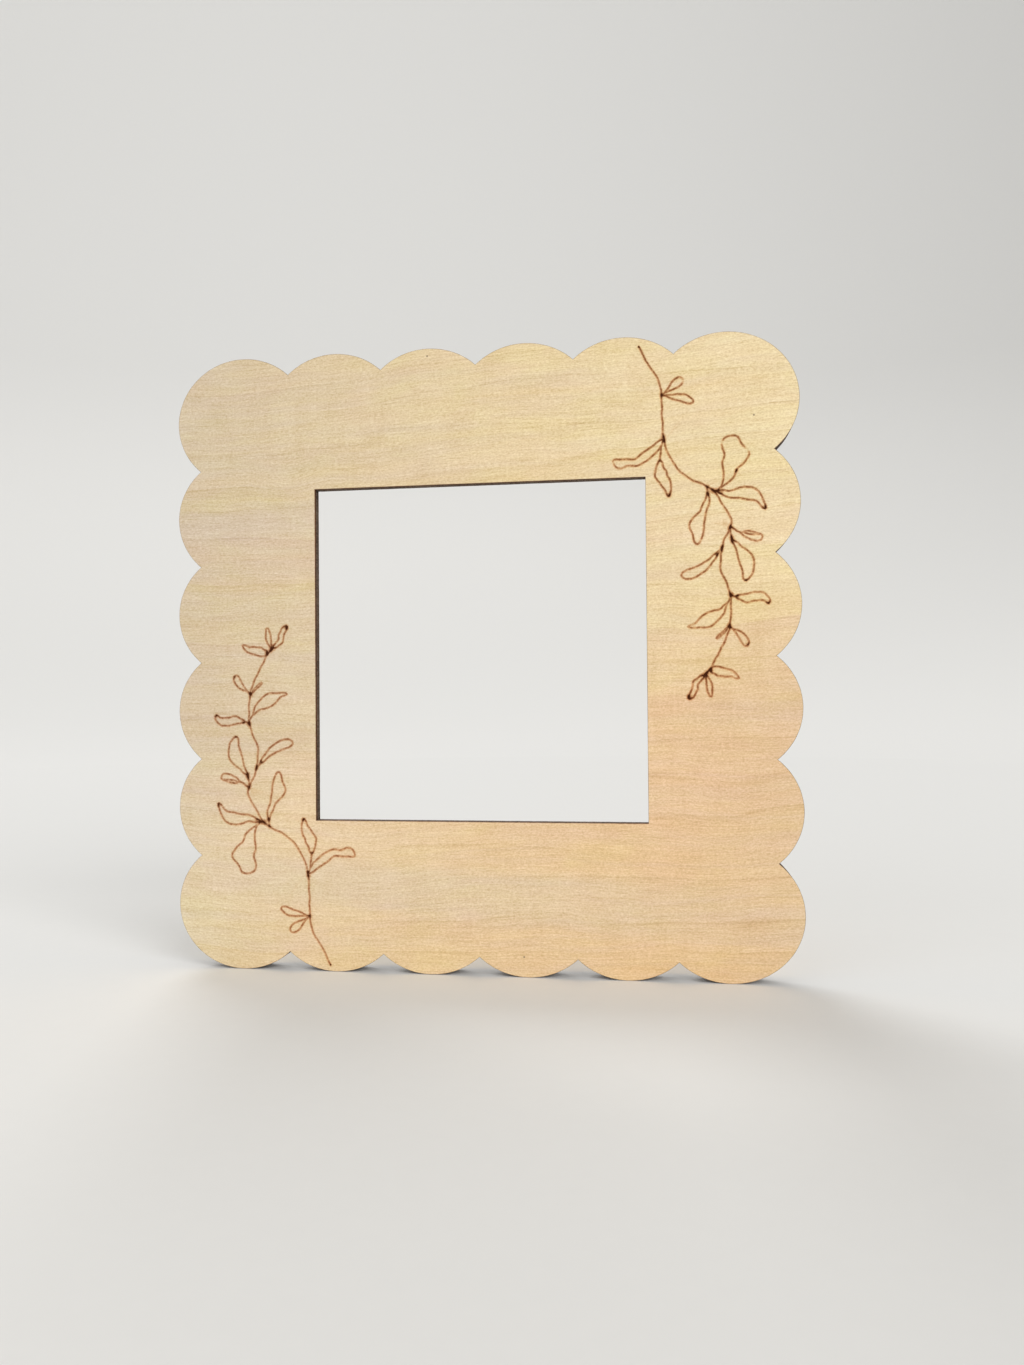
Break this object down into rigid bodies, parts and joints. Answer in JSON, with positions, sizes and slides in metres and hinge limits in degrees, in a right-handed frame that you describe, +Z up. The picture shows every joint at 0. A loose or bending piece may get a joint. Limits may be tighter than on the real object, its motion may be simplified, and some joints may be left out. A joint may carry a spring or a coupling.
{
  "type": "magnetic photo frame",
  "caption": "Square scalloped plywood photo frame with a square window, a top-loading print slot behind it and disc magnets in its corners.",
  "frame": {"origin": "middle of the frame's width and height, on the plane of its back where it lies on the steel", "axes": "+X to the right and +Z up as the frame hangs, -Y out of its front; the back lies on Y = 0"},
  "size_m": [0.152, 0.006, 0.1516],
  "materials": {
    "veneer": "bare, sanded, fine grain across",
    "core": "bare, laser-browned edge, grain up and down",
    "magnet": "satin nickel plate"
  },
  "bodies": {
    "root": {"front_panel_face_veneer": "veneer", "front_panel_core": "core", "front_panel_back_veneer": "veneer", "spacer_front_veneer": "veneer", "spacer_core": "core", "spacer_back_veneer": "veneer", "magnet_top_left": "magnet", "magnet_top_right": "magnet", "magnet_bottom_left": "magnet", "magnet_bottom_right": "magnet"}
  },
  "joints": []
}
